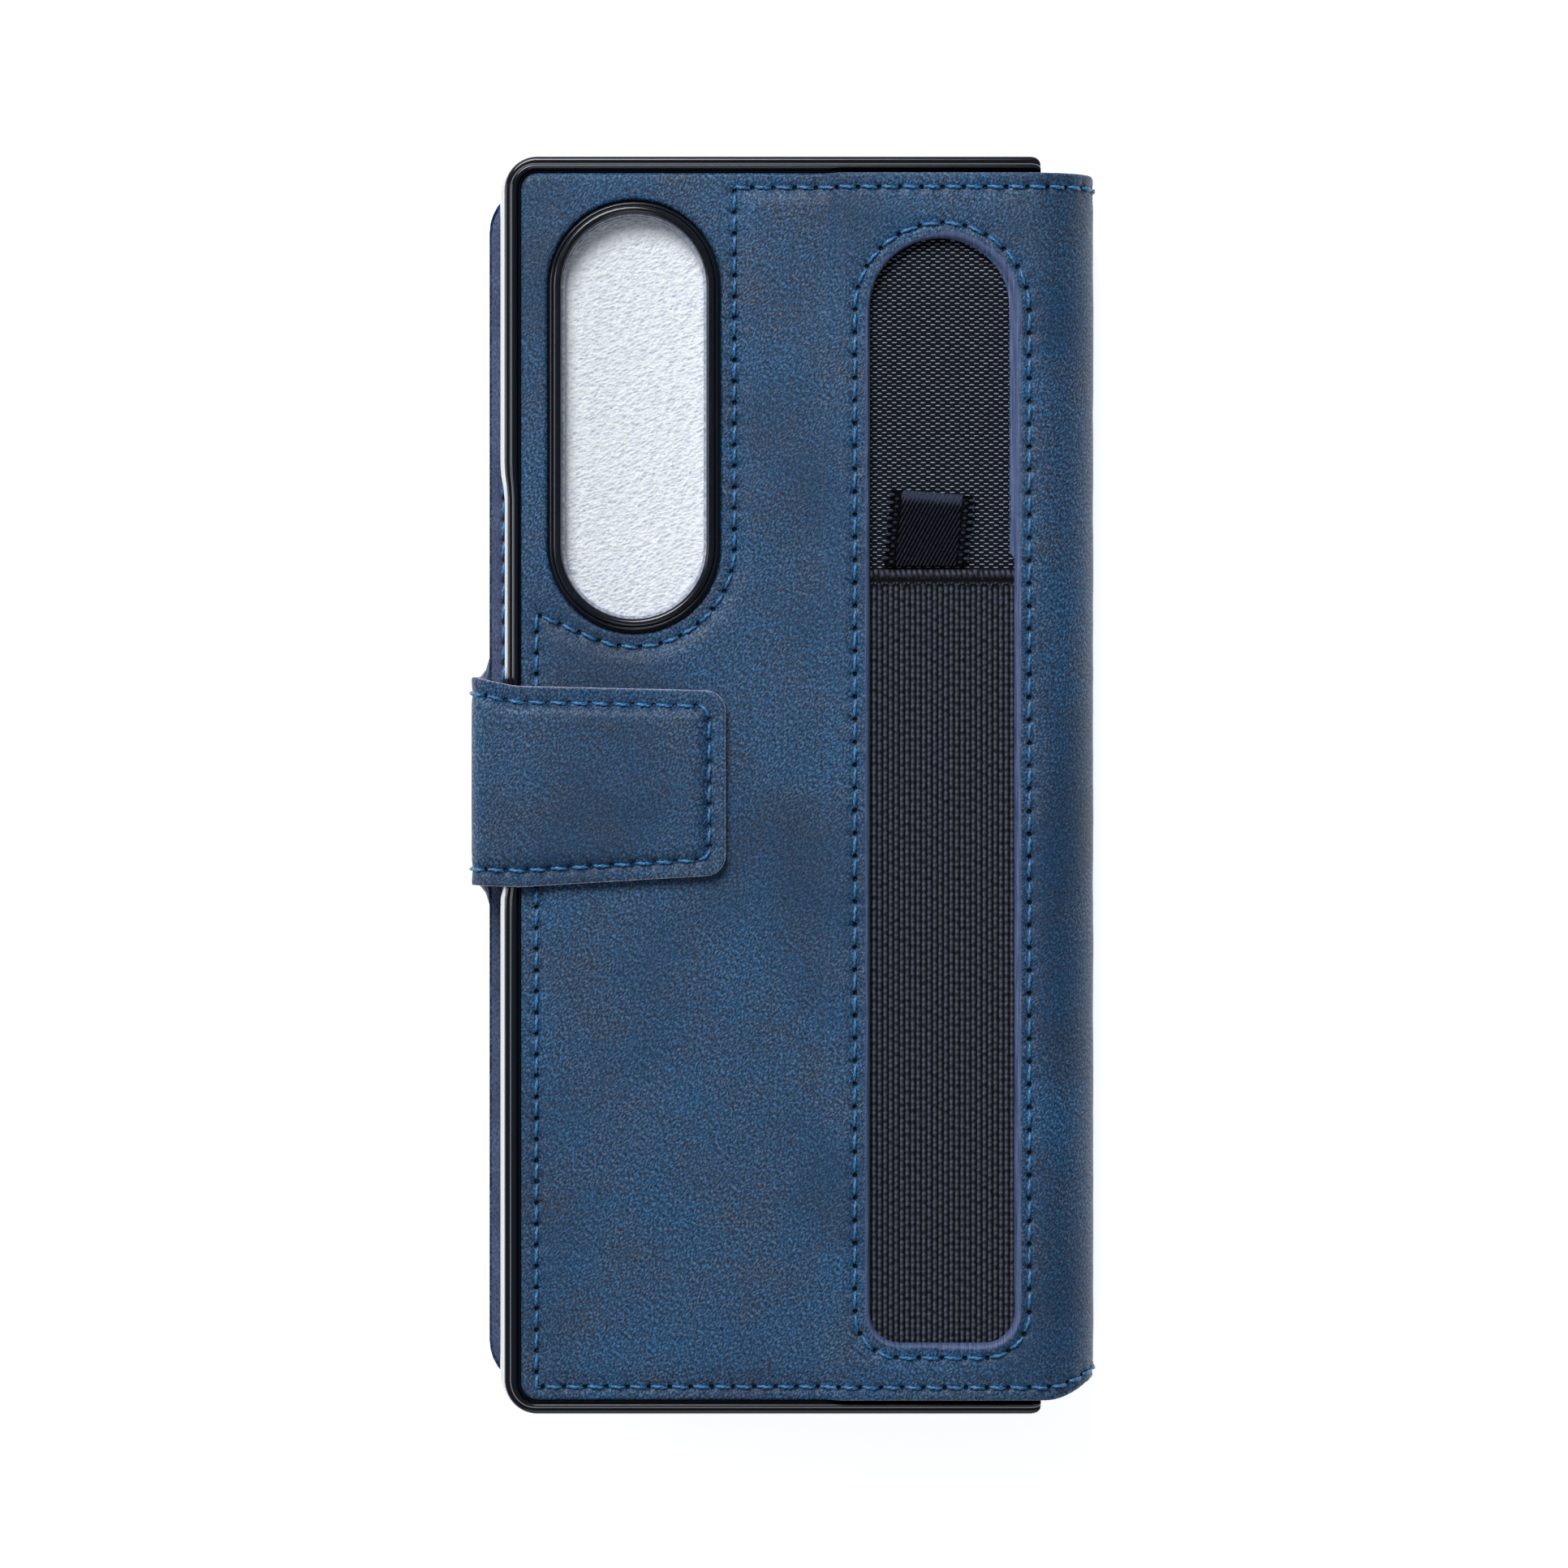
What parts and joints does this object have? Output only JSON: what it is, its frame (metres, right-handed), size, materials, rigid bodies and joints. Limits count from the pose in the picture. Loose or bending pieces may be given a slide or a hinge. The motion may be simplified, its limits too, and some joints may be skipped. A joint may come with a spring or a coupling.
{
  "type": "phone wallet case",
  "caption": "Book-style leather wallet case for a folding phone: plastic phone tray, camera window, elastic pen sleeve, card pockets and magnetic closing strap.",
  "frame": {"origin": "under the middle of the closed case, on the surface that its front cover lies on", "axes": "+X towards the spine, +Y towards the top of the phone, +Z out of the back panel"},
  "size_m": [0.077, 0.1562, 0.0221],
  "materials": {
    "leather": "fine-grained blue synthetic leather, satin",
    "lining": "smooth navy synthetic leather, matt",
    "shell": "glossy black moulded plastic",
    "lip": "translucent grey soft plastic",
    "board": "grey pressed board",
    "foam": "white closed-cell foam",
    "steel": "plated magnet steel",
    "fabric": "charcoal woven nylon",
    "elastic": "black ribbed knitted elastic",
    "ribbon": "black satin ribbon",
    "thread": "blue twisted sewing thread"
  },
  "bodies": {
    "front_cover": {"front_leather": "leather", "front_board": "board", "front_lining": "lining", "cash_pocket": "lining", "card_pocket_1": "lining", "card_pocket_2": "lining", "card_pocket_3": "lining", "cover_seam_thread": "thread"},
    "spine": {"spine_leather": "leather", "spine_lining": "lining"},
    "back": {"back_shell": "shell", "camera_ring": "shell", "camera_lip": "lip", "back_magnet": "steel", "back_pad": "foam", "back_board": "board", "back_leather": "leather", "pen_slot_fabric": "fabric", "pen_elastic": "elastic", "outline_seam_thread": "thread", "slot_seam_thread": "thread", "packing_foam_sheet": "foam"},
    "pull_tab": {"pen_pull_tab": "ribbon"},
    "strap_side": {"strap_side_leather": "leather", "strap_side_lining": "lining"},
    "strap_tab": {"strap_tab_leather": "leather", "strap_tab_lining": "lining", "strap_magnet": "steel", "strap_seam_thread": "thread"}
  },
  "joints": [
    {"name": "cover_fold", "type": "hinge", "parent": "front_cover", "child": "spine", "pos_m": [0.036, 0, 0.0025], "axis": [0, 1, 0], "range_deg": [0, 90]},
    {"name": "back_fold", "type": "hinge", "parent": "spine", "child": "back", "pos_m": [0.036, 0, 0.0184], "axis": [0, 1, 0], "range_deg": [0, 90]},
    {"name": "pull_tab_fold", "type": "hinge", "parent": "back", "child": "pull_tab", "pos_m": [0.01885, 0.0274, 0.0192], "axis": [1, 0, 0], "range_deg": [0, 90]},
    {"name": "strap_root_fold", "type": "hinge", "parent": "front_cover", "child": "strap_side", "pos_m": [-0.0378, 0, 0.0007], "axis": [0, -1, 0], "range_deg": [0, 90], "deforming": ["strap_side_leather", "strap_side_lining"]},
    {"name": "strap_corner_fold", "type": "hinge", "parent": "strap_side", "child": "strap_tab", "pos_m": [-0.0373, 0, 0.02085], "axis": [0, -1, 0], "range_deg": [0, 90], "deforming": ["strap_tab_leather", "strap_tab_lining", "strap_magnet", "strap_seam_thread"]}
  ]
}
